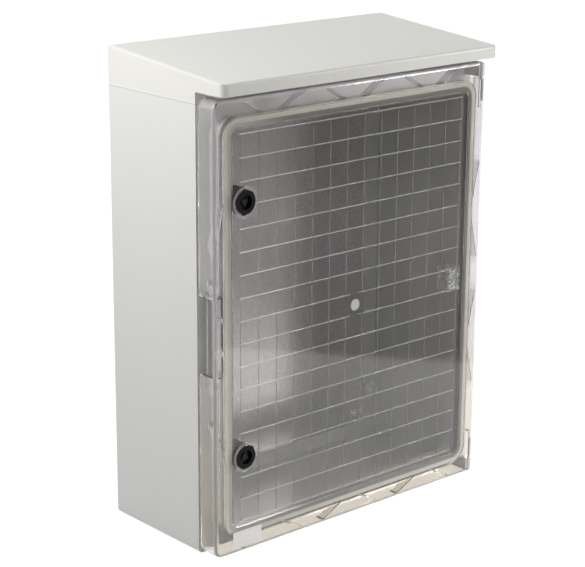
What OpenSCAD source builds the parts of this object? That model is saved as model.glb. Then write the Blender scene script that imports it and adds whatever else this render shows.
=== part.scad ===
// Wall-mounting ABS enclosure with a clear hinged door, a sloping rain hood,
// two quarter-turn locks and a galvanised mounting plate.
// X runs to the right as seen from the front, Y to the back and Z up.
// The origin is on the floor, below the middle of the whole enclosure.

/* [Body] */
// Width of the body and of the hood
body_w = 400; // [320:1:600]
// Height of the body without the hood
body_h = 500; // [380:1:800]
// Depth of the body from its back to its front rim
body_d = 148; // [120:1:260]
// Thickness of the body's walls
body_wall = 4; // [3:0.5:6]
// Radius of the body's two lower long edges
body_r = 5.5; // [4:0.5:12]
// Thickness of the front frame round the opening
frame_t = 4; // [3:0.5:6]
// Thickness of the ridge that the door's seal closes on
ridge_t = 3; // [2:0.5:4]

/* [Rain hood] */
// Reach of the hood in front of the body's rim
hood_reach = 44; // [34:1:80]
// Height of the hood over the body at its back
hood_back_h = 35.2; // [26:0.1:60]
// Height of the hood over the body at its front
hood_front_h = 18.3; // [14:0.1:24]
// Height of the lip along the hood's front
hood_lip = 13.4; // [8:0.1:14]
// Thickness of the hood's walls
hood_wall = 3; // [2:0.5:4]
// Plan radius of the hood's front corners
hood_r = 8; // [5:0.5:14]
// Radius of the hood's top edges
hood_edge_r = 3; // [1:0.5:4]
// Number of ribs under the hood's overhang
hood_ribs = 5; // [2:1:9]
// Thickness of the ribs under the hood
hood_rib_t = 2; // [1.5:0.5:3]
// Distance of the hood's screws from the body's sides
hood_screw_in = 50; // [35:1:80]
// Distance of the front hood screws behind the rim
hood_screw_front = 32; // [24:1:45]
// Distance of the rear hood screws in front of the back
hood_screw_back = 30; // [24:1:45]

/* [Door] */
// Distance of the door's side edges inside the body's sides
door_side = 1.5; // [1:0.1:4]
// Distance of the door's top edge below the body's top
door_top_in = 0.8; // [0.6:0.1:5]
// Depth of the door, from its face to the edge of its skirt
door_d = 26; // [22:0.5:34]
// Gap between the door's skirt and the body's rim
door_gap = 1.8; // [1:0.1:3]
// Height of the door's lower edge above the floor
door_z = 0.8; // [0.4:0.1:3]
// How much lower the grid and the seal sit than the middle of the door
grid_drop = 1.4; // [0:0.1:3]
// Thickness of the door's face
door_face_t = 4; // [3:0.5:5]
// Thickness of the door's skirt
door_skirt_t = 3; // [2:0.5:4]
// Radius of the door's corners
door_r = 11; // [8:0.5:16]
// Radius of the edge round the door's face
door_edge_r = 4.5; // [2:0.5:5]
// Diameter of the gate mark in the middle of the door
gate_d = 12.5; // [8:0.5:18]
// Height of the gate mark
gate_h = 0.4; // [0.2:0.1:0.8]

/* [Door grid] */
// Pitch of the grid moulded into the back of the door's face
grid_pitch = 25; // [20:1:50]
// Width of the grid's grooves
grid_line = 1.2; // [0.6:0.1:2]
// Depth of the grid's grooves
grid_depth = 0.4; // [0.2:0.1:0.8]
// Least distance between the grid and the seal channel
grid_margin = 4; // [2:0.5:20]

/* [Flange truss] */
// Depth of the zigzag ribs behind the door's face
truss_d = 10; // [6:0.5:12]
// Thickness of the zigzag ribs
truss_t = 1.6; // [1.2:0.1:2.5]
// Node spacing of the zigzag along the top and the bottom
truss_px = 58; // [45:1:70]
// Node spacing of the zigzag along the two sides
truss_pz = 77.5; // [60:0.5:90]
// Straight stretch at each node of the zigzag
truss_flat = 28; // [18:1:34]

/* [Finger recess] */
// Length of the finger recess in the door's left edge
recess_len = 85; // [60:1:100]
// Depth of the finger recess from the door's left edge
recess_depth = 10; // [8:0.5:11]
// Thickness of the walls round the finger recess
recess_wall = 2; // [1.5:0.5:3]

/* [Moulded socket] */
// Width of the socket moulded behind the door's face
socket_w = 19; // [14:0.5:26]
// Height of the socket
socket_h = 28; // [20:1:40]
// Depth of the socket
socket_d = 17.4; // [8:0.2:20]
// Thickness of the socket's walls
socket_wall = 2; // [1.5:0.5:3]
// Corner radius of the socket
socket_r = 3; // [2:0.5:5]

/* [Door seal] */
// Distance from the door's side edge to the middle of the seal
seal_in_x = 19.2; // [17:0.1:24]
// Distance from the door's top and bottom edge to the middle of the seal
seal_in_z = 25; // [23:0.1:32]
// Width of the seal
seal_w = 9; // [7:0.5:10]
// Thickness of the seal
seal_t = 5.5; // [4:0.5:8]
// Corner radius on the middle line of the seal
seal_r = 14; // [12:1:24]
// Thickness of the ribs of the seal channel
channel_t = 2; // [1.5:0.5:3]
// Distance of the seal from the bottom of its channel
seal_bed = 0.05; // [0.02:0.01:0.2]
// Clearance between the seal and its channel
seal_side = 0.2; // [0.1:0.05:0.4]
// Clearance between the seal and the body's ridge
seal_gap = 0.3; // [0.2:0.1:0.6]

/* [Hinge] */
// Distance of the hinge axis from the door's right edge
hinge_in = 3.8; // [3.5:0.1:5]
// Distance of the hinge axis behind the door's face
hinge_back = 3.8; // [3.5:0.1:5]
// Height of each hinge lug of the body
lug_h = 16.6; // [12:0.2:20]
// Radius of the hinge lugs
lug_r = 3.8; // [3.5:0.1:4.5]
// Clearance round each lug in the door's notch
lug_side = 1.6; // [0.6:0.1:2]
// Clearance between a lug and the door's knuckle
lug_end = 2.5; // [0.4:0.1:3]
// Height of each knuckle of the door
knuckle_h = 34; // [24:1:45]
// Diameter of the hinge pins
pin_d = 4; // [3:0.5:5]
// Length of each pin inside the door's knuckle
pin_in = 25; // [12:1:30]
// Length of each pin inside its lug
pin_lug = 9; // [6:0.5:12]
// Radius of the knuckles inside the door
knuckle_r = 5.5; // [4.5:0.1:6.5]
// Radial clearance of the pins in the lugs
pin_seat = 0.02; // [0.01:0.01:0.05]
// Radial clearance of the pins in the knuckles
pin_run = 0.06; // [0.03:0.01:0.1]
// Swing radius that the door's hinge edge keeps inside
hinge_swing = 14.6; // [12:0.1:14.8]

/* [Locks] */
// Distance of the locks from the door's left edge
lock_in = 40; // [40:1:60]
// Distance of the locks from the door's top and bottom edges
lock_end = 109.2; // [60:1:120]
// Diameter of the lock's head
lock_head_d = 25.5; // [24:0.5:30]
// Thickness of the lock's head
lock_head_t = 1.8; // [1.5:0.1:4]
// Diameter of the lock's barrel
lock_barrel_d = 22; // [18:0.5:23]
// Radial clearance of the barrel in the door and the nut
lock_fit = 0.1; // [0.05:0.05:0.2]
// Outer diameter of the collar moulded round each lock
collar_d = 33; // [31:0.5:38]
// Height of the collar
collar_h = 2; // [1:0.1:3]
// Gap between the collar and the lock's head
collar_gap = 0.5; // [0.3:0.1:1]
// Thickness of the lock's sealing ring
lock_seal_t = 0.6; // [0.5:0.1:2]
// Size of the lock nut across its flats
nut_af = 27; // [25:0.5:27.5]
// Thickness of the lock nut
nut_t = 15.5; // [8:0.5:17]
// Diameter of the key recess in the lock's head
key_d = 16; // [14:0.5:18]
// Depth of the key recess
key_depth = 7.3; // [6.5:0.1:8]
// Circumscribed diameter of the triangular key stud
stud_d = 11.2; // [8:0.1:12]
// Depth of the stud's end below the front of the lock's head
stud_in = 2.3; // [0.5:0.1:3]
// Thickness of the core's disc in the key recess
core_disc_t = 2.5; // [2:0.5:3]
// Diameter of the core's shaft
core_d = 12; // [10:0.5:13]
// Radial clearance of the core in the barrel
core_run = 0.06; // [0.03:0.01:0.1]
// Clearance of the core's disc in the key recess
core_side = 0.3; // [0.2:0.05:0.5]
// Side of the square end of the core
square_s = 8; // [6:0.5:8.5]

/* [Cams] */
// Reach of the cam from the lock's axis
cam_reach = 34; // [28:0.5:36]
// Width of the cam's arm
cam_w = 16; // [12:0.5:18]
// Thickness of the cam
cam_t = 3; // [2:0.5:4]
// Diameter of the cam's hub
cam_hub_d = 22; // [18:0.5:24]
// Clearance between the cam and the back of the frame
cam_gap = 0.6; // [0.4:0.1:1]
// Clearance of the square hole in the cam
cam_fit = 0.05; // [0.03:0.01:0.1]
// Thread diameter of the cam screw
cam_screw_d = 5; // [4:0.5:6]
// Length of the cam screw in the core
cam_screw_l = 10; // [8:1:16]

/* [Mounting plate] */
// Distance of the plate's side edges inside the body's sides
plate_side = 38; // [30:1:70]
// Distance of the plate's top and bottom edges inside the body's ends
plate_end = 28; // [22:1:60]
// Thickness of the mounting plate
plate_t = 2; // [1.5:0.5:3]
// Corner radius of the mounting plate
plate_r = 22; // [4:1:28]
// Distance of the mounting plate from the body's back wall
plate_off = 13; // [11:0.5:25]
// Distance of the plate's screws from its edges
plate_hole_in = 13; // [11:0.5:25]
// Diameter of the bosses that carry the plate
boss_d = 15; // [12:0.5:20]
// Thickness of the ribs beside the bosses
boss_rib_t = 2.5; // [2:0.5:4]
// Reach of the ribs beside the bosses
boss_rib_l = 16; // [12:1:24]
// Outer diameter of the threaded inserts
insert_d = 8; // [7:0.5:9]
// Length of the threaded inserts
insert_l = 10; // [8:0.5:12]

/* [Fasteners] */
// Thread diameter of the plate screws and the hood screws
screw_d = 5; // [4:0.5:5]
// Diameter of the screw heads
head_d = 9.5; // [8:0.5:11]
// Height of the screw heads
head_h = 3.6; // [2.5:0.1:5]
// Length of the screws under their heads
screw_l = 12; // [11:0.5:16]
// Diameter of the washers
washer_d = 11; // [10:0.5:15]
// Thickness of the steel washers under the plate screws
washer_t = 1; // [0.8:0.1:1.6]
// Thickness of the rubber washers under the hood screws
seal_washer_t = 1.5; // [1:0.1:2.5]
// Radial clearance round a screw in a plain hole
hole_clear = 0.4; // [0.2:0.1:0.8]
// Radial clearance between matching threads
thread_clear = 0.04; // [0.02:0.01:0.08]
// Diameter of the screw bosses inside the hood
hood_boss_d = 12; // [10:0.5:16]

/* [Wall fixing] */
// Distance of the wall-fixing holes from the body's sides
fix_side = 16; // [15:0.5:30]
// Distance of the wall-fixing holes from the body's top and bottom
fix_end = 64; // [24:1:100]
// Diameter of the wall-fixing holes
fix_d = 8.5; // [6:0.5:10]
// Diameter of the pads round the wall-fixing holes
fix_pad_d = 20; // [16:1:22]
// Height of the pads inside the back wall
fix_pad_t = 7; // [1:0.5:9]

/* [Hidden] */

fine = 64;
eps = 0.5;
abs_grey = [0.83, 0.83, 0.81];
hood_grey = [0.86, 0.855, 0.83];
clear_pc = [0.80, 0.80, 0.82, 0.35];
steel = [0.62, 0.62, 0.62];
zinc = [0.70, 0.69, 0.68];
black = [0.09, 0.09, 0.09];
brass = [0.75, 0.62, 0.32];
seal_grey = [0.66, 0.64, 0.59];

// Depths, from the back of the body to the front of the hood
y_back = (body_d + hood_reach) / 2;
y_rim = y_back - body_d;
y_hood = y_rim - hood_reach;
y_frame = y_rim + frame_t;
y_inner = y_back - body_wall;
y_skirt = y_rim - door_gap;
y_face = y_skirt - door_d;
y_pane = y_face + door_face_t;
y_seal = y_pane + seal_t;
y_ridge = y_seal + seal_gap;

// Door and seal outlines
door_w = body_w - 2 * door_side;
door_h = body_h - door_z - door_top_in;
door_zc = door_z + door_h / 2;
pane_zc = door_zc - grid_drop;
door_top = door_z + door_h;
seal_cw = door_w - 2 * seal_in_x;
seal_ch = door_h - 2 * seal_in_z;
open_w = seal_cw - ridge_t;
open_h = seal_ch - ridge_t;
open_r = seal_r - ridge_t / 2;
chan_out = seal_w / 2 + seal_side + channel_t;
flange_x = door_w / 2 - door_skirt_t;
flange_z = door_h / 2 - door_skirt_t;
rib_x = seal_cw / 2 + chan_out;
rib_z = seal_ch / 2 + chan_out;

// Cells of the door's grid, an odd number each way
grid_x = 2 * floor((seal_cw / 2 - chan_out - grid_margin) / grid_pitch - 0.5) + 1;
grid_z = 2 * floor((seal_ch / 2 - chan_out - grid_margin) / grid_pitch - 0.5) + 1;

// Hinge axis
hinge_x = door_w / 2 - hinge_in;
hinge_y = y_face + hinge_back;
notch_r = lug_r + lug_side;
skirt_back = sqrt(hinge_swing * hinge_swing - hinge_in * hinge_in);
lug_lo = door_z + lug_h - grid_drop;
lug_hi = door_top - lug_h - grid_drop;
pin_l = pin_lug + lug_end + pin_in;

// Locks
lock_x = -door_w / 2 + lock_in;
y_head = y_face - lock_seal_t - lock_head_t;
y_key = y_head + key_depth;
y_cam = y_frame + cam_gap;
y_barrel = y_cam - cam_gap;
lock_z = door_h / 2 - lock_end;

// Mounting plate and hood
mid_z = body_h / 2;
fix_x = body_w / 2 - fix_side;
fix_z = body_h / 2 - fix_end;
plate_w = body_w - 2 * plate_side;
plate_h = body_h - 2 * plate_end;
hood_screw_x = body_w / 2 - hood_screw_in;
y_plate = y_inner - plate_off;
plate_sx = plate_w / 2 - plate_hole_in;
plate_sz = plate_h / 2 - plate_hole_in;
slope = (hood_back_h - hood_front_h) / (y_back - y_hood);
pitch = sqrt(1 + slope * slope);
under_lip = body_h + hood_front_h - hood_lip;
hood_screw_y = [y_rim + hood_screw_front, y_back - hood_screw_back];

// Rounded rectangle with true arcs, centred on the origin
module rrect(w, h, r) {
  square([w - 2 * r, h], center = true);
  square([w, h - 2 * r], center = true);
  for (sx = [-1, 1], sz = [-1, 1])
    translate([sx * (w / 2 - r), sz * (h / 2 - r)]) circle(r = r, $fn = fine);
}

// Rectangle whose two lower corners are round, standing on z = 0
module tub(w, h, r) {
  translate([-w / 2, r]) square([w, h - r]);
  translate([-w / 2 + r, 0]) square([w - 2 * r, h / 2]);
  for (sx = [-1, 1]) translate([sx * (w / 2 - r), r]) circle(r = r, $fn = fine);
}

// Draws a flat shape in X and Z and thickens it from y0 to y1
module along_y(y0, y1, z = 0, x = 0) {
  translate([x, y1, z]) rotate([90, 0, 0]) linear_extrude(height = y1 - y0) children();
}

// Draws a flat shape in Y and Z and thickens it from x0 to x1
module along_x(x0, x1) {
  translate([x0, 0, 0]) rotate([90, 0, 90]) linear_extrude(height = x1 - x0) children();
}

// Round bar along Y from y0 to y1
module bar_y(d, y0, y1, x = 0, z = 0) {
  translate([x, y0, z]) rotate([-90, 0, 0]) cylinder(d = d, h = y1 - y0, $fn = fine);
}

// Flat strut between two points of the X-Z plane
module strut(a, b, t) {
  run = b - a;
  translate(a) rotate(atan2(run[1], run[0])) translate([0, -t / 2]) square([norm(run), t]);
}

// The four corners of a rectangle
module at_corners(dx, dz) {
  for (sx = [-1, 1], sz = [-1, 1]) translate([sx * dx, 0, sz * dz]) children();
}

// The screws that hold the hood, two at the front and two at the back
module at_hood_screws() {
  for (sx = [-1, 1], y = hood_screw_y) translate([sx * hood_screw_x, y, 0]) children();
}

// Arm of the body that carries a hinge pin, seen from above
module lug() {
  circle(r = lug_r, $fn = fine);
  translate([-lug_r, 0]) square([2 * lug_r, y_frame - hinge_y]);
}

// Both lugs, whose outer corners follow the round corners of the door
module lugs() {
  intersection() {
    for (z = [[door_z, lug_lo], [lug_hi, door_top]])
      translate([hinge_x, hinge_y, z[0]]) linear_extrude(height = z[1] - z[0]) lug();
    along_y(y_face - 1, y_frame + 1, door_zc) rrect(2 * (hinge_x + lug_r), door_h, door_r);
  }
}

module body_shell() {
  color(abs_grey) difference() {
    union() {
      difference() {
        along_y(y_rim, y_back) tub(body_w, body_h, body_r);
        along_y(y_frame, y_inner, body_wall)
          tub(body_w - 2 * body_wall, body_h - 2 * body_wall, max(1, body_r - body_wall));
      }
      along_y(y_ridge, y_frame, pane_zc)
        rrect(open_w + 2 * ridge_t, open_h + 2 * ridge_t, seal_r + ridge_t / 2);
      lugs();
      translate([0, 0, mid_z]) {
        at_corners(plate_sx, plate_sz) bar_y(boss_d, y_plate, y_inner + eps);
        at_corners(plate_sx, plate_sz) along_y(y_plate + plate_t, y_inner + eps) {
          square([2 * boss_rib_l, boss_rib_t], center = true);
          square([boss_rib_t, 2 * boss_rib_l], center = true);
        }
        at_corners(fix_x, fix_z) bar_y(fix_pad_d, y_inner - fix_pad_t, y_inner + eps);
      }
    }
    along_y(y_ridge - eps, y_frame + eps, pane_zc) rrect(open_w, open_h, open_r);
    for (z = [lug_lo - pin_lug, lug_hi - eps])
      translate([hinge_x, hinge_y, z]) cylinder(r = pin_d / 2 + pin_seat, h = pin_lug + eps, $fn = fine);
    translate([0, 0, mid_z]) {
      at_corners(plate_sx, plate_sz) bar_y(insert_d + 2 * thread_clear, y_plate - eps, y_plate + insert_l);
      at_corners(fix_x, fix_z) bar_y(fix_d, y_inner - fix_pad_t - eps, y_back + eps);
    }
    at_hood_screws() translate([0, 0, body_h - body_wall - eps])
      cylinder(d = screw_d + 2 * hole_clear, h = body_wall + 2 * eps, $fn = fine);
  }
}

// Height of the roof's upper face over the floor
function roof(y) = body_h + hood_front_h + slope * (y - y_hood);

// Middle of the round edge that joins the roof to a wall of the hood
function edge_at(y) = [y, roof(y) - hood_edge_r * pitch];
function on_roof(y) = edge_at(y) + hood_edge_r * [-slope, 1] / pitch;

// Outline of the hood from the side, open below the overhang
module hood_side() {
  front = edge_at(y_hood + hood_edge_r);
  rear = edge_at(y_back - hood_edge_r);
  polygon([[y_hood, under_lip], [y_hood, front[1]], on_roof(front[0]), on_roof(rear[0]), [y_back, rear[1]],
           [y_back, body_h], [y_rim, body_h], [y_rim, under_lip]]);
  for (c = [front, rear]) translate(c) circle(r = hood_edge_r, $fn = fine);
}

// Plan of the hood with round front corners, drawn in by i
module hood_plan(i) {
  w = body_w - 2 * i;
  r = hood_r - i;
  translate([-w / 2, y_hood + hood_r]) square([w, y_back - y_hood - hood_r - i]);
  translate([-w / 2 + r, y_hood + i]) square([w - 2 * r, hood_r]);
  for (sx = [-1, 1]) translate([sx * (w / 2 - r), y_hood + hood_r]) circle(r = r, $fn = fine);
}

// The hood's width with round upper corners, with its top at z = 0
module hood_front() {
  w = body_w;
  e = hood_edge_r;
  translate([-w / 2, -2 * hood_back_h]) square([w, 2 * hood_back_h - e]);
  translate([-w / 2 + e, -hood_back_h]) square([w - 2 * e, hood_back_h]);
  for (sx = [-1, 1]) translate([sx * (w / 2 - e), -e]) circle(r = e, $fn = fine);
}

module hood_outer() {
  intersection() {
    along_x(-body_w / 2 - 1, body_w / 2 + 1) hood_side();
    translate([0, 0, body_h - 1]) linear_extrude(height = hood_back_h + 2) hood_plan(0);
    translate([0, y_hood, roof(y_hood)]) rotate([atan(slope), 0, 0])
      along_y(-20, y_back - y_hood + 40) hood_front();
  }
}

module hood_inner() {
  intersection() {
    along_x(-body_w / 2, body_w / 2)
      polygon([[y_hood, body_h - 1], [y_hood, roof(y_hood) - hood_wall * pitch],
               [y_back, roof(y_back) - hood_wall * pitch], [y_back, body_h - 1]]);
    translate([0, 0, body_h - 2]) linear_extrude(height = hood_back_h + 2) hood_plan(hood_wall);
  }
}

// Rib under the overhang, from the lip to the wall over the body's rim
module hood_rib() {
  y0 = y_hood + hood_wall / 2;
  y1 = y_rim + hood_wall / 2;
  along_x(-hood_rib_t / 2, hood_rib_t / 2)
    polygon([[y0, under_lip + hood_wall], [y0, roof(y0) - hood_wall / 2], [y1, roof(y1) - hood_wall / 2],
             [y1, under_lip + hood_wall]]);
}

module rain_hood() {
  color(hood_grey) difference() {
    union() {
      difference() {
        hood_outer();
        hood_inner();
      }
      translate([-body_w / 2 + hood_wall / 2, y_rim, body_h])
        cube([body_w - hood_wall, hood_wall, roof(y_rim) - body_h - hood_wall / 2]);
      for (k = [1 : hood_ribs]) translate([-body_w / 2 + k * body_w / (hood_ribs + 1), 0, 0]) hood_rib();
      for (sx = [-1, 1], y = hood_screw_y)
        translate([sx * hood_screw_x, y, body_h])
          cylinder(d = hood_boss_d, h = roof(y) - body_h - hood_wall / 2, $fn = fine);
    }
    at_hood_screws() translate([0, 0, body_h - eps])
      cylinder(r = screw_d / 2 + thread_clear, h = screw_l - body_wall - seal_washer_t + 1 + eps, $fn = fine);
  }
}

// Pan-head screw that points up, with the underside of its head at z = 0
module screw(d, l, hd, hh) {
  rotate_extrude($fn = fine) {
    square([d / 2, l - 1]);
    polygon([[0, l - 1], [d / 2, l - 1], [d / 2 - 0.8, l], [0, l]]);
    difference() {
      union() {
        translate([0, -hh * 0.6]) square([hd / 2, hh * 0.6]);
        translate([0, -hh]) square([hd / 2 - hh * 0.4, hh * 0.5]);
        intersection() {
          translate([hd / 2 - hh * 0.4, -hh * 0.6]) circle(r = hh * 0.4, $fn = fine);
          translate([0, -hh]) square([hd / 2, hh]);
        }
      }
      translate([0, -hh - 1]) square([hd / 6, 1 + hh * 0.45]);
    }
  }
}

module hood_screws() {
  color(steel) at_hood_screws() translate([0, 0, body_h - body_wall - seal_washer_t])
    screw(screw_d, screw_l, head_d, head_h);
}

module hood_washers() {
  color(black) at_hood_screws() translate([0, 0, body_h - body_wall - seal_washer_t]) difference() {
    cylinder(d = washer_d, h = seal_washer_t, $fn = fine);
    translate([0, 0, -eps]) cylinder(d = screw_d + 2 * thread_clear, h = seal_washer_t + 2 * eps, $fn = fine);
  }
}

// Plain hinge pin with chamfered ends, from z = 0 up
module pin(l) {
  rotate_extrude($fn = fine) polygon([[0, 0], [pin_d / 2 - 0.5, 0], [pin_d / 2, 0.5], [pin_d / 2, l - 0.5],
                                      [pin_d / 2 - 0.5, l], [0, l]]);
}

module hinge_pin_upper() {
  color(steel) translate([hinge_x, hinge_y, lug_hi + pin_lug - pin_l]) pin(pin_l);
}

module hinge_pin_lower() {
  color(steel) translate([hinge_x, hinge_y, lug_lo - pin_lug]) pin(pin_l);
}

module plate_inserts() {
  color(brass) translate([0, 0, mid_z]) at_corners(plate_sx, plate_sz) difference() {
    bar_y(insert_d, y_plate, y_plate + insert_l);
    bar_y(screw_d + 2 * thread_clear, y_plate - eps, y_plate + insert_l + eps);
  }
}

module mounting_plate() {
  color(zinc) difference() {
    along_y(y_plate - plate_t, y_plate, mid_z) rrect(plate_w, plate_h, plate_r);
    translate([0, 0, mid_z]) at_corners(plate_sx, plate_sz)
      bar_y(screw_d + 2 * hole_clear, y_plate - plate_t - eps, y_plate + eps);
  }
}

module plate_washers() {
  color(steel) translate([0, 0, mid_z]) at_corners(plate_sx, plate_sz) difference() {
    bar_y(washer_d, y_plate - plate_t - washer_t, y_plate - plate_t);
    bar_y(screw_d + 2 * thread_clear, y_plate - plate_t - washer_t - eps, y_plate - plate_t + eps);
  }
}

module plate_screws() {
  color(steel) translate([0, y_plate - plate_t - washer_t, mid_z]) at_corners(plate_sx, plate_sz)
    rotate([-90, 0, 0]) screw(screw_d, screw_l, head_d, head_h);
}

// Smooth outer form of the door, with a rounded edge round its face
module door_outer() {
  e = door_edge_r;
  hull() {
    for (a = [0 : 18 : 72]) {
      i = e * (1 - sin(a));
      y = y_face + e * (1 - cos(a));
      along_y(y, y + 0.01, door_zc) rrect(door_w - 2 * i, door_h - 2 * i, door_r - i);
    }
    along_y(y_face + e, y_skirt, door_zc) rrect(door_w, door_h, door_r);
  }
}

// Ring of even width that follows the seal's line at a distance from it
module seal_ring(o, i) {
  difference() {
    rrect(seal_cw + 2 * o, seal_ch + 2 * o, seal_r + o);
    rrect(seal_cw + 2 * i, seal_ch + 2 * i, seal_r + i);
  }
}

// One run of the zigzag: n bays each way from the middle, first node inside or outside
module zigzag(n, pitch, inner, outer, first_in) {
  for (s = [-1, 1], k = [0 : n - 1]) {
    from_in = (k % 2 == 0) == first_in;
    strut([s * (k * pitch + truss_flat / 2), from_in ? inner : outer],
          [s * ((k + 1) * pitch - truss_flat / 2), from_in ? outer : inner], truss_t);
  }
}

// Zigzag ribs between the seal channel and the skirt, on all four sides
module truss() {
  nx = floor((flange_x - truss_flat / 2) / truss_px);
  nz = floor((flange_z - truss_flat / 2) / truss_pz);
  for (s = [-1, 1])
    rotate(90 - 90 * s) zigzag(nx, truss_px, rib_z - eps, flange_z + s * grid_drop + eps, true);
  rotate(90) zigzag(nz, truss_pz, rib_x - eps, flange_x + eps, true);
  rotate(-90) zigzag(nz, truss_pz, rib_x - eps, flange_x + eps, false);
}

// Lines of the grid, left out round the gate mark
module grid() {
  w = grid_x * grid_pitch;
  h = grid_z * grid_pitch;
  difference() {
    union() {
      for (k = [0 : grid_x])
        translate([k * grid_pitch - w / 2, 0]) square([grid_line, h + grid_line], center = true);
      for (k = [0 : grid_z])
        translate([0, k * grid_pitch - h / 2]) square([w + grid_line, grid_line], center = true);
    }
    square(grid_pitch + 2 * grid_line, center = true);
  }
}

// Knuckle of the door round a hinge pin, from z = 0 up
module knuckle() {
  linear_extrude(height = knuckle_h) intersection() {
    circle(r = knuckle_r, $fn = fine);
    translate([-knuckle_r, -1]) square([knuckle_r + hinge_in - door_skirt_t / 2, knuckle_r + 1]);
  }
}

// Room for a hinge lug, open to the corner of the door
module lug_notch(z0, z1) {
  translate([hinge_x - notch_r, y_face - 1, z0]) cube([notch_r + hinge_in + 1, door_d + 2, z1 - z0]);
}

// Plan of the socket opposite the locks, two cells with a web between them
module socket() {
  cell_h = (socket_h - 3 * socket_wall) / 2;
  difference() {
    rrect(socket_w, socket_h, socket_r);
    for (s = [-1, 1])
      translate([0, s * (cell_h + socket_wall) / 2]) rrect(socket_w - 2 * socket_wall, cell_h, socket_r / 2);
  }
}

module door() {
  recess_x = door_w / 2 - recess_depth;
  color(clear_pc) difference() {
    union() {
      difference() {
        union() {
          difference() {
            door_outer();
            along_y(y_pane, y_skirt + 1, door_zc)
              rrect(door_w - 2 * door_skirt_t, door_h - 2 * door_skirt_t, door_r - door_skirt_t);
          }
          along_y(y_pane - eps, y_pane + truss_d, pane_zc) truss();
        }
        translate([-door_w / 2 - 1, y_pane, pane_zc - recess_len / 2])
          cube([recess_depth + 1, door_d, recess_len]);
        translate([hinge_x, hinge_y + skirt_back, door_z - 1]) cube([hinge_in + 1, door_d, door_h + 2]);
        along_y(y_pane - grid_depth, y_pane + 1, pane_zc) grid();
      }
      translate([-recess_x, y_pane - eps, pane_zc - recess_len / 2 - recess_wall])
        cube([recess_wall, y_skirt - y_pane + eps, recess_len + 2 * recess_wall]);
      for (z = [pane_zc - recess_len / 2 - recess_wall, pane_zc + recess_len / 2])
        translate([-door_w / 2 + door_skirt_t / 2, y_pane - eps, z])
          cube([recess_depth - door_skirt_t / 2 + recess_wall, y_skirt - y_pane + eps, recess_wall]);
      along_y(y_pane - eps, y_seal + eps, pane_zc) {
        seal_ring(chan_out, chan_out - channel_t);
        seal_ring(-chan_out + channel_t, -chan_out);
      }
      along_y(y_pane - eps, y_pane + socket_d, pane_zc, -lock_x) socket();
      translate([hinge_x, hinge_y, lug_lo + lug_end]) knuckle();
      translate([hinge_x, hinge_y, lug_hi - lug_end - knuckle_h]) knuckle();
      for (s = [-1, 1]) bar_y(collar_d, y_face - collar_h, y_face + eps, lock_x, door_zc + s * lock_z);
      bar_y(gate_d, y_face - gate_h, y_face + eps, 0, pane_zc);
    }
    lug_notch(door_z - 1, lug_lo + lug_end);
    lug_notch(lug_hi - lug_end, door_top + 1);
    for (s = [-1, 1]) {
      z = door_zc + s * lock_z;
      bar_y(lock_barrel_d + 2 * lock_fit, y_face - collar_h - 1, y_pane + 1, lock_x, z);
      bar_y(lock_head_d + 2 * collar_gap, y_face - collar_h - 1, y_face, lock_x, z);
    }
    for (z = [lug_lo, lug_hi - lug_end - pin_in - 1])
      translate([hinge_x, hinge_y, z])
        cylinder(r = pin_d / 2 + pin_run, h = pin_in + lug_end + 1, $fn = fine);
  }
}

module door_seal() {
  color(seal_grey) along_y(y_pane + seal_bed, y_seal, pane_zc) seal_ring(seal_w / 2, -seal_w / 2);
}

// Places a lock piece on the upper (1) or the lower (-1) lock axis
module at_lock(s) {
  translate([lock_x, 0, door_zc + s * lock_z]) children();
}

module lock_seal() {
  difference() {
    bar_y(lock_head_d, y_face - lock_seal_t, y_face);
    bar_y(lock_barrel_d + 2 * lock_fit, y_face - lock_seal_t - eps, y_face + eps);
  }
}

module lock_body() {
  difference() {
    union() {
      bar_y(lock_head_d, y_head, y_face - lock_seal_t);
      bar_y(lock_barrel_d, y_face - lock_seal_t - eps, y_barrel);
    }
    bar_y(key_d, y_head - eps, y_key);
    bar_y(core_d + 2 * core_run, y_key - eps, y_barrel + eps);
  }
}

module lock_nut() {
  difference() {
    along_y(y_pane, y_pane + nut_t) rotate(30) circle(d = nut_af / cos(30), $fn = 6);
    bar_y(lock_barrel_d + 2 * lock_fit, y_pane - eps, y_pane + nut_t + eps);
  }
}

// Core that the key turns; its triangle points along +Z at s = 1
module lock_core(s) {
  disc_y = y_key - core_run - core_disc_t;
  difference() {
    union() {
      bar_y(key_d - 2 * core_side, disc_y, y_key - core_run);
      along_y(y_head + stud_in, disc_y + eps) rotate(s * 90) circle(d = stud_d, $fn = 3);
      bar_y(core_d, y_key - core_run - eps, y_cam);
      along_y(y_cam - eps, y_cam + cam_t) square(square_s, center = true);
    }
    bar_y(cam_screw_d + 2 * thread_clear, y_cam + cam_t - cam_screw_l - 1, y_cam + cam_t + eps);
  }
}

// Flat cam whose arm points along +Z at s = 1
module lock_cam(s) {
  r = cam_w / 4;
  along_y(y_cam, y_cam + cam_t) rotate(s > 0 ? 0 : 180) difference() {
    union() {
      circle(d = cam_hub_d, $fn = fine);
      translate([-cam_w / 2, 0]) square([cam_w, cam_reach - r]);
      translate([-cam_w / 2 + r, cam_reach - 2 * r]) square([cam_w - 2 * r, 2 * r]);
      for (sx = [-1, 1]) translate([sx * (cam_w / 2 - r), cam_reach - r]) circle(r = r, $fn = fine);
    }
    square(square_s + 2 * cam_fit, center = true);
  }
}

module cam_screw() {
  translate([0, y_cam + cam_t, 0]) rotate([90, 0, 0])
    screw(cam_screw_d, cam_screw_l, cam_screw_d * 2.6, head_h);
}

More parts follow.
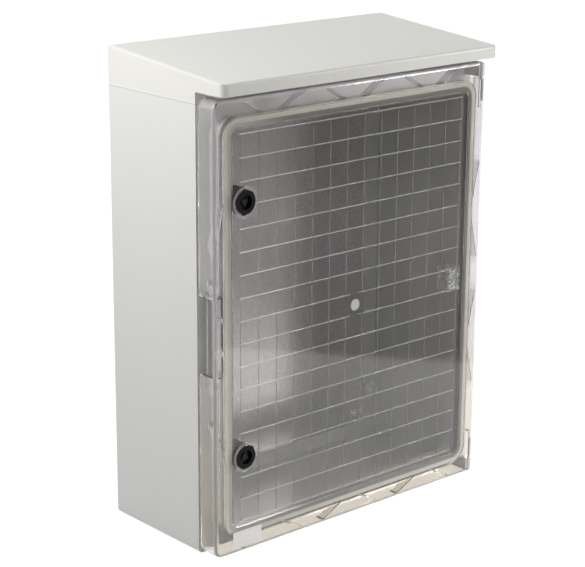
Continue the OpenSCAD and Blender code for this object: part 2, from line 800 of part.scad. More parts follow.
module lock_seal_upper() { color(black) at_lock(1) lock_seal(); }
module lock_body_upper() { color(black) at_lock(1) lock_body(); }
module lock_nut_upper() { color(black) at_lock(1) lock_nut(); }
module lock_core_upper() { color(black) at_lock(1) lock_core(-1); }
module lock_cam_upper() { color(zinc) at_lock(1) lock_cam(-1); }
module cam_screw_upper() { color(steel) at_lock(1) cam_screw(); }
module lock_seal_lower() { color(black) at_lock(-1) lock_seal(); }
module lock_body_lower() { color(black) at_lock(-1) lock_body(); }
module lock_nut_lower() { color(black) at_lock(-1) lock_nut(); }
module lock_core_lower() { color(black) at_lock(-1) lock_core(1); }
module lock_cam_lower() { color(zinc) at_lock(-1) lock_cam(1); }
module cam_screw_lower() { color(steel) at_lock(-1) cam_screw(); }

body_shell();
rain_hood();
hood_screws();
hood_washers();
hinge_pin_upper();
hinge_pin_lower();
plate_inserts();
mounting_plate();
plate_washers();
plate_screws();
door();
door_seal();
lock_seal_upper();
lock_body_upper();
lock_nut_upper();
lock_core_upper();
lock_cam_upper();
cam_screw_upper();
lock_seal_lower();
lock_body_lower();
lock_nut_lower();
lock_core_lower();
lock_cam_lower();
cam_screw_lower();
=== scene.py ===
"""Dresses the enclosure: materials for its pieces, a blank label, a plain studio and the camera."""

import math

import bmesh
import bpy
from mathutils import Matrix, Vector


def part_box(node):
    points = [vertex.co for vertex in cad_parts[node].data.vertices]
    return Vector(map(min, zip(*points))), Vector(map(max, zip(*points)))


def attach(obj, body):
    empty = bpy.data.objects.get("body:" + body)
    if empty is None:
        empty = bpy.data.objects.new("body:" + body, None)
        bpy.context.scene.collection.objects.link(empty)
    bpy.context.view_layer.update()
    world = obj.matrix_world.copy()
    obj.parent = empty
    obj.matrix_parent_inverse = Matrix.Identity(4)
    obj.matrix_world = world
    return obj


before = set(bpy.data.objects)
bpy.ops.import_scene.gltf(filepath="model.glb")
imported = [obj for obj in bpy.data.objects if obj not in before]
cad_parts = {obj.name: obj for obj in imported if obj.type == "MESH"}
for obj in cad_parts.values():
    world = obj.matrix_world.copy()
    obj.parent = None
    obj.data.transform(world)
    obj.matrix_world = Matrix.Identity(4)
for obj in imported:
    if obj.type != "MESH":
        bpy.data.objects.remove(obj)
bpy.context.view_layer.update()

# Places that come from the frame, in metres
BODY_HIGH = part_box("body_shell")[1]
DOOR_LOW, DOOR_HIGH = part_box("door")
SEAL_LOW, SEAL_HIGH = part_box("door_seal")
CORE_LOW, CORE_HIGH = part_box("lock_core_upper")
BODY_HALF_X = BODY_HIGH[0]
DOOR_HALF_X = DOOR_HIGH[0]
DOOR_Z = (DOOR_LOW[2] + DOOR_HIGH[2]) / 2
DOOR_HALF_Z = DOOR_HIGH[2] - DOOR_Z
PANE_Z = (SEAL_LOW[2] + SEAL_HIGH[2]) / 2
LOCK_X = (CORE_LOW[0] + CORE_HIGH[0]) / 2
LOCK_UP = (CORE_LOW[2] + CORE_HIGH[2]) / 2 - DOOR_Z

# The door's face, its pane and the grooves in the pane's back, in metres
COLLAR_HEIGHT = 0.002
PANE_THICKNESS = 0.004
GROOVE_DEPTH = 0.0004
FACE_Y = DOOR_LOW[1] + COLLAR_HEIGHT
PANE_Y = FACE_Y + PANE_THICKNESS
GROOVE_Y = PANE_Y - GROOVE_DEPTH

# The grid of grooves, the round gate mark in its middle and the line stubs beside the mark, in metres
GRID_PITCH = 0.025
GRID_HALF_X = 13 * GRID_PITCH / 2
GRID_HALF_Z = 17 * GRID_PITCH / 2
GROOVE_REACH = 0.00025
GATE_RADIUS = 0.00625
GATE_HEIGHT = 0.0009
STUB_START = 0.006
STUB_END = 0.013

# Half the width of the grid's level lines, as a share of the pitch
LINE_SHARE = 0.02

# Where the door's flange begins, and the wider rim that lets light through to the seal, in metres
FLANGE_X = 0.186
FLANGE_Z = 0.233
RIM_X = 0.162
RIM_Z = 0.207

# Where the door's look begins to change from its left side to its right, in metres
LEFT_X = -0.17

# The collars round the locks and the socket that mirrors them, in metres
COLLAR_RADIUS = 0.0155
COLLAR_REACH = 0.0012
SOCKET_X = -LOCK_X
SOCKET_WIDTH = 0.019
SOCKET_HEIGHT = 0.028
SOCKET_FOOT = 0.003

# The seal's width and the radius of its centre line at the corners, in metres
SEAL_WIDTH = 0.009
SEAL_RADIUS = 0.014

# How far the hood laps down over the body's sides, in metres
HOOD_LAP = 0.0073
LAP_Z = BODY_HIGH[2] - HOOD_LAP

# Room that a drawn patch has round the shape that it covers, in metres
SKIN = 0.0001
MARGIN = 0.0003

# Width of the photograph, in pixels
PHOTO_WIDTH = 585


def shade(red, green, blue):
    """A linear colour from the 0 to 255 values that a picture shows."""
    values = []
    for value in (red, green, blue):
        value /= 255
        values.append(value / 12.92 if value <= 0.04045 else ((value + 0.055) / 1.055) ** 2.4)
    return (*values, 1.0)


def grey(value):
    """A linear grey."""
    return (value, value, value, 1.0)


def scaled(colour, factor):
    """A colour made lighter or darker."""
    return (*[min(1.0, value * factor) for value in colour[:3]], 1.0)


class Nodes:
    """A node tree with short calls for the nodes that the materials share."""

    def __init__(self, owner):
        owner.use_nodes = True
        self.tree = owner.node_tree

    def feed(self, socket, value):
        """Sets a socket to a value, or links another socket to it."""
        if isinstance(value, bpy.types.NodeSocket):
            self.tree.links.new(value, socket)
        else:
            socket.default_value = value

    def add(self, kind, inputs=None, **settings):
        """A new node with its settings and inputs."""
        node = self.tree.nodes.new(kind)
        for name, value in settings.items():
            setattr(node, name, value)
        for name, value in (inputs or {}).items():
            self.feed(node.inputs[name], value)
        return node

    def place(self):
        """Where a point is, in metres, in the piece's own frame."""
        return self.add("ShaderNodeTexCoord").outputs["Object"]

    def facing(self):
        """The three numbers of the direction that a point's surface faces."""
        return self.axes(self.add("ShaderNodeTexCoord").outputs["Normal"])

    def axes(self, vector):
        """The three numbers of a vector."""
        node = self.add("ShaderNodeSeparateXYZ", {"Vector": vector})
        return node.outputs["X"], node.outputs["Y"], node.outputs["Z"]

    def math(self, operation, *values):
        """A sum on up to three numbers."""
        node = self.add("ShaderNodeMath", operation=operation)
        for socket, value in zip(node.inputs, values):
            self.feed(socket, value)
        return node.outputs[0]

    def product(self, first, *others):
        """The product of numbers. Of masks, it is 1 where all of them are."""
        for other in others:
            first = self.math("MULTIPLY", first, other)
        return first

    def largest(self, first, *others):
        """The largest of some numbers. Of masks, it is 1 where any of them is."""
        for other in others:
            first = self.math("MAXIMUM", first, other)
        return first

    def length(self, first, second):
        """The length of a line that reaches so far along two axes."""
        squares = self.math("MULTIPLY_ADD", first, first, self.math("MULTIPLY", second, second))
        return self.math("SQRT", squares)

    def gap(self, value, middle):
        """How far a number is from the middle."""
        return self.math("ABSOLUTE", self.math("SUBTRACT", value, middle))

    def near(self, value, middle, reach):
        """1 where a number is within reach of the middle, otherwise 0."""
        return self.math("COMPARE", value, middle, reach)

    def between(self, value, low, high):
        """1 where a number lies between two others, otherwise 0."""
        return self.near(value, (low + high) / 2, (high - low) / 2)

    def outside(self, across, along, half_x, half_z):
        """1 where distances from the middle lie outside a rectangle, otherwise 0."""
        farthest = self.math("MAXIMUM", self.math("ADD", across, half_z - half_x), along)
        return self.math("GREATER_THAN", farthest, half_z)

    def ramp(self, value, low, high, start=0.0, end=1.0):
        """A number taken smoothly from one range to another."""
        inputs = {"Value": value, "From Min": low, "From Max": high, "To Min": start, "To Max": end}
        node = self.add("ShaderNodeMapRange", inputs, interpolation_type="SMOOTHSTEP")
        return node.outputs["Result"]

    def noise(self, vector, scale, detail=2.0, roughness=0.5, output="Fac"):
        """Soft clouds of the given number to a metre."""
        inputs = {"Vector": vector, "Scale": scale, "Detail": detail, "Roughness": roughness}
        return self.add("ShaderNodeTexNoise", inputs).outputs[output]

    def cells(self, vector, scale):
        """A random shade for each cell of a broken pattern."""
        node = self.add("ShaderNodeTexVoronoi", {"Vector": vector, "Scale": scale})
        return self.add("ShaderNodeSeparateColor", {"Color": node.outputs["Color"]}).outputs["Red"]

    def stretch(self, vector, x, y, z):
        """A place with each axis scaled, for streaks."""
        inputs = {"Vector": vector, "Scale": (x, y, z)}
        return self.add("ShaderNodeMapping", inputs).outputs["Vector"]

    def wander(self, vector, scale, reach):
        """A place shifted by soft clouds, up to the given reach."""
        cloud = self.noise(vector, scale, output="Color")
        inputs = {0: cloud, 1: (reach, reach, reach), 2: vector}
        return self.add("ShaderNodeVectorMath", inputs, operation="MULTIPLY_ADD").outputs[0]

    def blend(self, share, first, second):
        """A colour between two others."""
        node = self.add("ShaderNodeMix", data_type="RGBA")
        self.feed(node.inputs[0], share)
        self.feed(node.inputs[6], first)
        self.feed(node.inputs[7], second)
        return node.outputs[2]

    def bump(self, height, strength, distance):
        """A normal that follows a height."""
        inputs = {"Height": height, "Strength": strength, "Distance": distance}
        return self.add("ShaderNodeBump", inputs).outputs["Normal"]

    def surface(self, **inputs):
        """Sets the inputs of the material's own shader."""
        shader = self.tree.nodes["Principled BSDF"]
        for name, value in inputs.items():
            self.feed(shader.inputs[name.replace("_", " ")], value)
        return shader

    def pair(self, kind, first, second, inputs=None):
        """A shader made of two others. A mix has its share among the inputs."""
        node = self.add(kind, inputs)
        shaders = [socket for socket in node.inputs if socket.type == "SHADER"]
        for socket, shader in zip(shaders, (first, second)):
            self.feed(socket, shader.outputs[0])
        return node

    def finish(self, shader, output="Material Output"):
        """Sends a shader to the surface."""
        self.feed(self.tree.nodes[output].inputs["Surface"], shader.outputs[0])


def start(name):
    """A new material, its nodes and the place of a point on it."""
    material = bpy.data.materials.new(name)
    nodes = Nodes(material)
    return material, nodes, nodes.place()


def lapped(nodes, place, tone, colour, lap):
    """The body's tone with the hood's edge over the top of its sides, a painted highlight along that edge
    and painted shade in a dark line below the edge.
    """
    side_depth, edge_highlight_height, seam_shade_depth = 0.0005, 0.0016, 0.0011
    x, _, z = nodes.axes(place)
    side = nodes.near(nodes.math("ABSOLUTE", x), BODY_HALF_X, side_depth)
    above = nodes.ramp(z, LAP_Z - MARGIN, LAP_Z + MARGIN)
    edge = nodes.between(z, LAP_Z + 2 * SKIN, LAP_Z + edge_highlight_height)
    seam_shade = nodes.between(z, LAP_Z - seam_shade_depth, LAP_Z - SKIN)
    # The band along the hood's edge is a painted highlight, and the dark band below it is painted shade.
    for band, shown in ((above, lap), (edge, scaled(lap, 1.07)), (seam_shade, scaled(colour, 0.8))):
        tone = nodes.blend(nodes.product(side, band), tone, shown)
    return tone


def moulded_plastic(name, colour, gloss, grain, lap=None):
    """Opaque moulded plastic: slow drift of shade, fine grain and a trace of dust.

    A lap is the colour of the hood's edge, which covers the top of the body's sides. Its edge gets a
    painted highlight, with a line of painted shade below it.
    """
    material, nodes, place = start(name)
    drift = nodes.noise(place, scale=7.0, detail=3.0)
    mottle = nodes.noise(place, scale=450.0, detail=1.0)
    fine = nodes.noise(place, scale=1500.0)
    dust = nodes.ramp(nodes.noise(place, scale=420.0, detail=4.0, roughness=0.7), 0.62, 0.8)
    cloud = nodes.math("MULTIPLY_ADD", mottle, 0.7, nodes.product(drift, 0.3))
    tone = nodes.blend(cloud, scaled(colour, 0.96), scaled(colour, 1.04))
    if lap:
        tone = lapped(nodes, place, tone, colour, lap)
    polish = nodes.ramp(drift, 0.3, 0.7, start=gloss - 0.02, end=gloss + 0.03)
    nodes.surface(
        Base_Color=nodes.blend(nodes.product(dust, 0.12), tone, scaled(colour, 0.86)),
        Roughness=nodes.math("ADD", polish, nodes.product(dust, 0.15)),
        Normal=nodes.bump(fine, strength=grain, distance=0.0002),
        IOR=1.52,
    )
    return material


def door_grid(nodes, x, y, up):
    """Where the door's grooves, the grid's level lines and the gate mark are.

    The grooves carry painted shade and the level lines a painted highlight. The level lines run on beside
    the gate mark, where the pane has no groove.
    """
    room = 0.001
    inside = nodes.product(nodes.near(x, 0.0, GRID_HALF_X + room), nodes.near(up, 0.0, GRID_HALF_Z + room))
    groove = nodes.product(inside, nodes.near(y, GROOVE_Y, GROOVE_REACH))
    stub = nodes.product(
        nodes.between(nodes.math("ABSOLUTE", x), STUB_START, STUB_END),
        nodes.near(nodes.math("ABSOLUTE", up), GRID_PITCH / 2, room),
        nodes.near(y, PANE_Y, SKIN),
    )
    row = nodes.math("ADD", nodes.math("DIVIDE", up, GRID_PITCH), 0.5)
    on_row = nodes.near(nodes.gap(row, nodes.math("ROUND", row)), 0.0, LINE_SHARE)
    level = nodes.product(nodes.largest(groove, stub), on_row)
    disc = nodes.near(nodes.length(x, up), 0.0, GATE_RADIUS + MARGIN)
    gate = nodes.product(disc, nodes.between(y, FACE_Y - GATE_HEIGHT, FACE_Y + SKIN))
    return groove, level, gate


def door_edge(nodes, aside, along, y):
    """Where the rounded edge of the door's face is, which gets a painted highlight."""
    reached, full = 0.005, 0.002
    deep, shallow = 0.0050, 0.0035
    return nodes.product(
        nodes.largest(
            nodes.ramp(aside, DOOR_HALF_X - reached, DOOR_HALF_X - full),
            nodes.ramp(along, DOOR_HALF_Z - reached, DOOR_HALF_Z - full),
        ),
        nodes.ramp(y, FACE_Y + deep, FACE_Y + shallow),
    )


def door_collar(nodes, x, y, along):
    """Where the collars round the two locks are, which get a painted highlight."""
    room = 0.0008
    from_lock = nodes.length(nodes.math("SUBTRACT", x, LOCK_X), nodes.math("SUBTRACT", along, LOCK_UP))
    ring = nodes.near(from_lock, COLLAR_RADIUS, COLLAR_REACH)
    return nodes.product(ring, nodes.between(y, FACE_Y - COLLAR_HEIGHT - room, FACE_Y - 2 * SKIN))


def door_rib(nodes, y, flange):
    """Where the slanting ribs in the door's flange are."""
    least_slant, room = 0.15, 0.0007
    face_x, _, face_z = nodes.facing()
    slant = nodes.math("ABSOLUTE", nodes.product(face_x, face_z))
    deep = nodes.between(y, PANE_Y + MARGIN, DOOR_HIGH[1] - room)
    return nodes.product(nodes.math("GREATER_THAN", slant, least_slant), flange, deep)


def door_socket(nodes, x, y, up):
    """Where the moulded socket behind the pane is."""
    return nodes.product(
        nodes.near(x, SOCKET_X, SOCKET_WIDTH / 2 + MARGIN),
        nodes.near(up, 0.0, SOCKET_HEIGHT / 2 + MARGIN),
        nodes.math("GREATER_THAN", y, PANE_Y - SKIN),
    )


def door_shadow(nodes, x, z, lit):
    """What the door lets through of a lamp's light: more in its lit parts, and most at their top right."""
    top_z, right_x = 0.482, 0.05
    top_right = nodes.product(nodes.math("GREATER_THAN", z, top_z), nodes.ramp(x, LEFT_X, right_x))
    most = nodes.blend(top_right, (0.66, 0.66, 0.64, 1.0), grey(0.97))
    return nodes.add("ShaderNodeBsdfTransparent", {"Color": nodes.blend(lit, grey(0.04), most)})


def clear_plastic(name):
    """The door: clear, with painted shade in the grid's grooves, pale lines of painted highlight along some
    of them, painted highlights on its rounded edges and lock collars, a frosted gate mark and a few specks.
    """
    material, nodes, place = start(name)
    x, y, z = nodes.axes(place)
    up = nodes.math("SUBTRACT", z, PANE_Z)
    aside = nodes.math("ABSOLUTE", x)
    along = nodes.gap(z, DOOR_Z)
    groove, level, gate = door_grid(nodes, x, y, up)
    flange = nodes.outside(aside, along, FLANGE_X, FLANGE_Z)
    socket = door_socket(nodes, x, y, up)
    crazed = nodes.product(nodes.noise(place, scale=480.0, roughness=0.6), socket)
    foot = nodes.math("LESS_THAN", up, SOCKET_FOOT - SOCKET_HEIGHT / 2)
    sparkle = nodes.largest(nodes.ramp(crazed, 0.46, 0.6), foot)
    specks = nodes.ramp(nodes.noise(place, scale=900.0, roughness=0.6), 0.66, 0.72)

    tint = shade(224, 222, 218)
    edging = nodes.blend(nodes.ramp(z, 0.02, 0.3), shade(243, 238, 231), shade(240, 238, 241))
    # Painted light in the tint: the grooves' dark grey is painted shade and the level lines' near white a
    # painted highlight.
    for patch, colour in (
        (flange, edging),
        (groove, shade(150, 149, 147)),
        (level, shade(240, 240, 239)),
        (gate, shade(228, 227, 228)),
        (socket, shade(246, 246, 246)),
    ):
        tint = nodes.blend(patch, tint, colour)

    # The level lines' frost is a painted highlight: strongest at the left and from mid-height up, weaker to
    # the right and toward the bottom.
    level_highlight_across = nodes.ramp(x, LEFT_X, 0.02, start=0.75, end=0.3)
    level_highlight_up = nodes.ramp(z, 0.05, DOOR_Z, start=0.3, end=1.0)
    frost = 0.0
    # Frost on the rounded edges and the lock collars is a painted highlight.
    for patch, strength in (
        (groove, 0.4),
        (gate, 0.6),
        (level, nodes.product(level_highlight_across, level_highlight_up)),
        (door_edge(nodes, aside, along, y), 0.35),
        (door_collar(nodes, x, y, along), 0.3),
        (door_rib(nodes, y, flange), 0.12),
        (nodes.product(socket, sparkle), 0.85),
    ):
        frost = nodes.math("MAXIMUM", frost, nodes.product(patch, strength))

    behind = nodes.math("GREATER_THAN", y, PANE_Y + 2 * MARGIN)
    behind = nodes.product(behind, nodes.math("SUBTRACT", 1.0, flange))
    rough = 0.015
    for patch, strength in ((frost, 0.5), (specks, 0.06), (nodes.math("SUBTRACT", behind, socket), 0.25)):
        rough = nodes.math("MULTIPLY_ADD", patch, strength, rough)

    shader = nodes.surface(
        Base_Color=tint,
        Transmission_Weight=nodes.math("SUBTRACT", 1.0, frost),
        Roughness=rough,
        Normal=nodes.bump(crazed, strength=0.6, distance=0.001),
        IOR=1.58,
    )
    rim = nodes.outside(aside, along, RIM_X, RIM_Z)
    front_depth = 0.0005
    front = nodes.math("LESS_THAN", y, FACE_Y + front_depth)
    lit = nodes.largest(rim, front, socket)
    shadow = {"Fac": nodes.add("ShaderNodeLightPath").outputs["Is Shadow Ray"]}
    nodes.finish(nodes.pair("ShaderNodeMixShader", shader, door_shadow(nodes, x, z, lit), shadow))
    return material


def galvanised(name, colour):
    """Zinc-coated sheet: broken spangle, rolling streaks and dull patches."""
    material, nodes, place = start(name)
    spangle = nodes.cells(nodes.wander(place, scale=60.0, reach=0.006), scale=560.0)
    streak = nodes.noise(nodes.stretch(place, 25.0, 900.0, 900.0), scale=1.0, detail=3.0)
    patch = nodes.noise(place, scale=11.0, detail=3.0)
    tone = nodes.blend(spangle, scaled(colour, 0.86), scaled(colour, 1.12))
    tone = nodes.blend(nodes.ramp(patch, 0.35, 0.7, start=0.0, end=0.25), tone, scaled(colour, 0.75))
    nodes.surface(
        Base_Color=nodes.blend(nodes.product(streak, 0.1), tone, scaled(colour, 1.12)),
        Metallic=1.0,
        Roughness=nodes.ramp(patch, 0.3, 0.7, start=0.21, end=0.24),
        Normal=nodes.bump(spangle, strength=0.03, distance=0.00002),
    )
    return material


def plain_metal(name, colour, gloss):
    """Plated or turned metal with fine tool marks."""
    material, nodes, place = start(name)
    marks = nodes.noise(nodes.stretch(place, 500.0, 500.0, 4000.0), scale=1.0, detail=3.0)
    stain = nodes.noise(place, scale=260.0, detail=3.0)
    nodes.surface(
        Base_Color=nodes.blend(stain, scaled(colour, 0.85), scaled(colour, 1.08)),
        Metallic=1.0,
        Roughness=nodes.ramp(marks, 0.3, 0.7, start=gloss - 0.06, end=gloss + 0.1),
        Normal=nodes.bump(marks, strength=0.1, distance=0.0001),
    )
    return material


def inner_half_shade(nodes, place):
    """How much painted shade a point gets from lying in the inner half of the seal. The left side gets less
    of it.
    """
    x, _, z = nodes.axes(place)
    inset = SEAL_WIDTH / 2 + SEAL_RADIUS
    straight_x = SEAL_HIGH[0] - inset
    straight_z = SEAL_HIGH[2] - PANE_Z - inset
    past_x = nodes.math("SUBTRACT", nodes.math("ABSOLUTE", x), straight_x)
    past_z = nodes.math("SUBTRACT", nodes.gap(z, PANE_Z), straight_z)
    outward = nodes.length(nodes.largest(past_x, 0.0), nodes.largest(past_z, 0.0))
    pale_from, dark_from = SEAL_RADIUS + 0.0005, SEAL_RADIUS - 0.0010
    inner = nodes.ramp(outward, pale_from, dark_from)
    full_from = -0.08
    return nodes.product(inner, nodes.ramp(x, LEFT_X, full_from, start=0.4, end=1.0))


def foam(name, colour):
    """Closed-cell seal: a dull skin with small pores, with painted shade on its sides and its inner half.
    """
    material, nodes, place = start(name)
    pores = nodes.add("ShaderNodeTexVoronoi", {"Vector": place, "Scale": 1300.0}).outputs["Distance"]
    drift = nodes.noise(place, scale=35.0, detail=3.0)
    tone = nodes.blend(drift, scaled(colour, 0.9), scaled(colour, 1.06))
    # Painted shade: the seal's sides are darker than its front face.
    front = nodes.ramp(nodes.math("ABSOLUTE", nodes.facing()[1]), 0.3, 0.7)
    tone = nodes.blend(front, scaled(colour, 0.4), tone)
    # Painted shade over the seal's inner half, less of it on the left side.
    tone = nodes.blend(inner_half_shade(nodes, place), tone, scaled(colour, 0.3))
    nodes.surface(
        Base_Color=nodes.blend(nodes.ramp(pores, 0.0, 0.35, start=0.3, end=0.0), tone, scaled(colour, 0.6)),
        Roughness=nodes.ramp(drift, 0.3, 0.7, start=0.78, end=0.92),
        Normal=nodes.bump(pores, strength=0.35, distance=0.0003),
    )
    return material


def dull_black(name, colour, gloss):
    """Black polymer with spark-eroded grain and a rubbed sheen."""
    material, nodes, place = start(name)
    grain = nodes.noise(place, scale=2600.0)
    rubbed = nodes.noise(place, scale=120.0, detail=3.0)
    nodes.surface(
        Base_Color=nodes.blend(rubbed, scaled(colour, 0.8), scaled(colour, 1.35)),
        Roughness=nodes.ramp(rubbed, 0.3, 0.7, start=gloss - 0.06, end=gloss + 0.08),
        Normal=nodes.bump(grain, strength=0.25, distance=0.0002),
        Specular_IOR_Level=0.12,
    )
    return material


def paper(name):
    """Coated label paper with faint fibres."""
    material, nodes, place = start(name)
    fibre = nodes.noise(nodes.stretch(place, 900.0, 900.0, 2600.0), scale=1.0, detail=4.0, roughness=0.65)
    drift = nodes.noise(place, scale=90.0)
    nodes.surface(
        Base_Color=nodes.blend(nodes.product(fibre, drift), shade(254, 253, 250), shade(236, 234, 229)),
        Roughness=nodes.ramp(fibre, 0.3, 0.7, start=0.5, end=0.65),
        Normal=nodes.bump(fibre, strength=0.1, distance=0.0001),
    )
    return material


def ends(*names):
    """The names of the upper and the lower node of each kind."""
    return [f"{name}_{end}" for name in names for end in ("upper", "lower")]


def dress(material, *names):
    """Gives CAD nodes a material."""
    for name in names:
        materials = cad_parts[name].data.materials
        materials.clear()
        materials.append(material)


def label_point(u, v, side):
    """A point of the label's back, which is side 0, or of its front, which is side 1."""
    width, height, thickness = 0.0400, 0.0195, 0.00012
    low_x, low_z = -0.1750, 0.0062
    glue, ripple_height = 0.00003, 0.00002
    lift_height, lift_from = 0.0005, 1.82
    lift = lift_height * max(0.0, u + v - lift_from) / (2 - lift_from)
    ripple = ripple_height * (1 + math.sin(9 * u + 5 * v))
    return low_x + width * u, FACE_Y - glue - side * thickness - lift - ripple, low_z + height * v


def make_label():
    """A blank sticker on the door's lower left flange, with one corner that has begun to lift."""
    steps_x, steps_z = 20, 10
    row = steps_x + 1
    mesh = bmesh.new()
    places = [(i / steps_x, j / steps_z) for j in range(steps_z + 1) for i in range(row)]
    back, front = [[mesh.verts.new(label_point(u, v, side)) for u, v in places] for side in (0, 1)]
    for j in range(steps_z):
        for i in range(steps_x):
            corner = [j * row + i, j * row + i + 1, (j + 1) * row + i + 1, (j + 1) * row + i]
            mesh.faces.new([front[k] for k in corner])
            mesh.faces.new([back[k] for k in reversed(corner)])
    rim = list(range(row))
    rim += [j * row + steps_x for j in range(1, steps_z + 1)]
    rim += [steps_z * row + i for i in reversed(range(steps_x))]
    rim += [j * row for j in reversed(range(1, steps_z))]
    for here, there in zip(rim, rim[1:] + rim[:1]):
        mesh.faces.new([front[there], front[here], back[here], back[there]])
    bmesh.ops.recalc_face_normals(mesh, faces=mesh.faces)
    data = bpy.data.meshes.new("door_label")
    mesh.to_mesh(data)
    mesh.free()
    label = bpy.data.objects.new("door_label", data)
    bpy.context.scene.collection.objects.link(label)
    data.materials.append(paper("label_paper"))
    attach(label, "door_leaf")


def floor_paper(name):
    """Paper that looks white and keeps a shadow.

    Where something mirrors it, it is a white sheet with a slanting edge, and darker past that edge.
    """
    material, nodes, place = start(name)
    nodes.tree.nodes.remove(nodes.tree.nodes["Principled BSDF"])
    x, y, _ = nodes.axes(place)
    edge_slope, edge_low, edge_high = 1.25, -1.0, -0.94
    past_edge = nodes.math("SUBTRACT", y, nodes.product(x, edge_slope))
    sheet = nodes.ramp(past_edge, edge_low, edge_high, start=0.25, end=1.0)
    path = nodes.add("ShaderNodeLightPath").outputs
    direct = nodes.math("LESS_THAN", path["Glossy Depth"], 0.5)
    seen = nodes.largest(path["Is Glossy Ray"], path["Is Transmission Ray"])
    seen = nodes.product(seen, nodes.largest(direct, sheet))
    seen = nodes.largest(path["Is Camera Ray"], seen)
    seen = nodes.product(seen, nodes.math("LESS_THAN", path["Diffuse Depth"], 0.5))
    plain = nodes.add("ShaderNodeBsdfDiffuse", {"Color": nodes.blend(sheet, grey(0.0), grey(0.45))})
    shadow = nodes.add("ShaderNodeBsdfDiffuse", {"Color": grey(0.25)})
    shadow_reach, white_from = 0.5, 1.4
    strength = nodes.ramp(nodes.length(x, y), shadow_reach, white_from, start=0.9, end=1.0)
    glow = nodes.add("ShaderNodeEmission", {"Color": grey(1.0), "Strength": strength})
    white = nodes.pair("ShaderNodeAddShader", shadow, glow)
    nodes.finish(nodes.pair("ShaderNodeMixShader", plain, white, {"Fac": seen}))
    return material


def make_floor():
    """A wide pale floor."""
    half = 30.0
    corners = [(-half, -half, 0), (half, -half, 0), (half, half, 0), (-half, half, 0)]
    data = bpy.data.meshes.new("floor")
    data.from_pydata(corners, [], [(0, 1, 2, 3)])
    floor = bpy.data.objects.new("floor", data)
    bpy.context.scene.collection.objects.link(floor)
    data.materials.append(floor_paper("floor_paper"))


def make_world():
    """Soft light from above that fades below the horizon. What is seen of it is white."""
    world = bpy.data.worlds.new("studio")
    bpy.context.scene.world = world
    nodes = Nodes(world)
    rise = nodes.axes(nodes.add("ShaderNodeTexCoord").outputs["Generated"])[2]
    soft = nodes.tree.nodes["Background"]
    nodes.feed(soft.inputs["Color"], nodes.blend(nodes.ramp(rise, -0.1, 0.9), grey(0.06), grey(0.2)))
    nodes.feed(soft.inputs["Strength"], 1.0)
    white = nodes.add("ShaderNodeBackground", {"Color": grey(1.0), "Strength": 1.0})
    path = nodes.add("ShaderNodeLightPath").outputs
    seen = nodes.largest(path["Is Camera Ray"], path["Is Glossy Ray"], path["Is Transmission Ray"])
    seen = nodes.product(seen, nodes.math("LESS_THAN", path["Diffuse Depth"], 0.5))
    nodes.finish(nodes.pair("ShaderNodeMixShader", soft, white, {"Fac": seen}), "World Output")


def make_lamp(name, place, aim, size, power, mirrored=True):
    """A square soft lamp that points at a place. Glossy things show no image of one that isn't mirrored."""
    data = bpy.data.lights.new(name, "AREA")
    data.shape = "SQUARE"
    data.size = size
    data.energy = power
    lamp = bpy.data.objects.new(name, data)
    lamp.visible_glossy = mirrored
    lamp.location = place
    lamp.rotation_euler = (Vector(aim) - Vector(place)).to_track_quat("-Z", "Y").to_euler()
    bpy.context.scene.collection.objects.link(lamp)


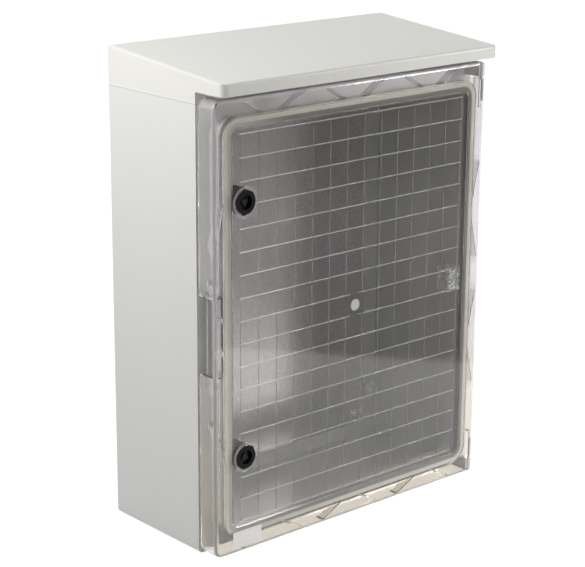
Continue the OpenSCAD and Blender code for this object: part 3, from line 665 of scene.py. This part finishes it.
def make_camera():
    """The camera at the photograph's viewing angle."""
    azimuth, elevation, roll = math.radians(-41.40), math.radians(16.30), math.radians(0.37)
    eye = Vector((-1.32533, -1.47854, 0.83573))
    focal_pixels = 1824.9
    level = math.cos(elevation)
    back = Vector((math.sin(azimuth) * level, -math.cos(azimuth) * level, math.sin(elevation)))
    right = Vector((0, 0, 1)).cross(back).normalized()
    up = back.cross(right)
    turned_right = right * math.cos(roll) + up * math.sin(roll)
    turned_up = up * math.cos(roll) - right * math.sin(roll)
    data = bpy.data.cameras.new("camera")
    data.sensor_fit = "HORIZONTAL"
    data.sensor_width = 36.0
    data.lens = data.sensor_width * focal_pixels / PHOTO_WIDTH
    data.clip_start = 0.05
    data.clip_end = 100.0
    camera = bpy.data.objects.new("camera", data)
    turn = Matrix((turned_right, turned_up, back)).transposed()
    camera.matrix_world = Matrix.Translation(eye) @ turn.to_4x4()
    bpy.context.scene.collection.objects.link(camera)
    bpy.context.scene.camera = camera


bpy.context.scene.view_settings.view_transform = "Standard"
make_camera()

hood_grey = shade(230, 229, 223)
steel = plain_metal("zinc_steel", shade(205, 205, 208), gloss=0.3)
brass = plain_metal("turned_brass", shade(212, 178, 104), gloss=0.3)
rubber = dull_black("rubber", shade(52, 51, 50), gloss=0.72)
lock_plastic = dull_black("lock_polymer", shade(12, 12, 12), gloss=0.45)
core_plastic = dull_black("core_polymer", shade(38, 37, 38), gloss=0.4)
sheet_zinc = galvanised("galvanised_sheet", shade(224, 222, 229))
body_plastic = moulded_plastic("body_plastic", shade(226, 226, 223), gloss=0.31, grain=0.05, lap=hood_grey)
hood_plastic = moulded_plastic("hood_plastic", hood_grey, gloss=0.36, grain=0.1)

dress(body_plastic, "body_shell")
dress(hood_plastic, "rain_hood")
dress(clear_plastic("door_plastic"), "door")
dress(foam("seal_foam", shade(243, 241, 238)), "door_seal")
dress(sheet_zinc, "mounting_plate", *ends("lock_cam"))
dress(steel, "hood_screws", "plate_screws", "plate_washers", *ends("cam_screw", "hinge_pin"))
dress(brass, "plate_inserts")
dress(rubber, "hood_washers", *ends("lock_seal"))
dress(lock_plastic, *ends("lock_body", "lock_nut"))
dress(core_plastic, *ends("lock_core"))
make_label()

make_floor()
make_world()
make_lamp("key", place=(-0.72, 0.1, 0.85), aim=(-0.2, 0.0, 0.5), size=0.4, power=3.4)
make_lamp("side", place=(-2.4, 0.4, 0.6), aim=(0.0, 0.0, 0.3), size=1.2, power=13.0)
make_lamp("top", place=(0.3, 0.5, 1.5), aim=(0.0, 0.0, 0.5), size=0.8, power=4.0)
make_lamp("rear", place=(0.8, 2.0, 0.45), aim=(0.0, 0.1, 0.25), size=1.0, power=20.0, mirrored=False)
make_lamp("fill", place=(1.2, -1.0, 0.72), aim=(0.0, -0.1, 0.1), size=0.6, power=14.0)
make_lamp("low", place=(0.2, -0.8, 0.14), aim=(-0.1, -0.08, 0.05), size=0.26, power=1.7, mirrored=False)
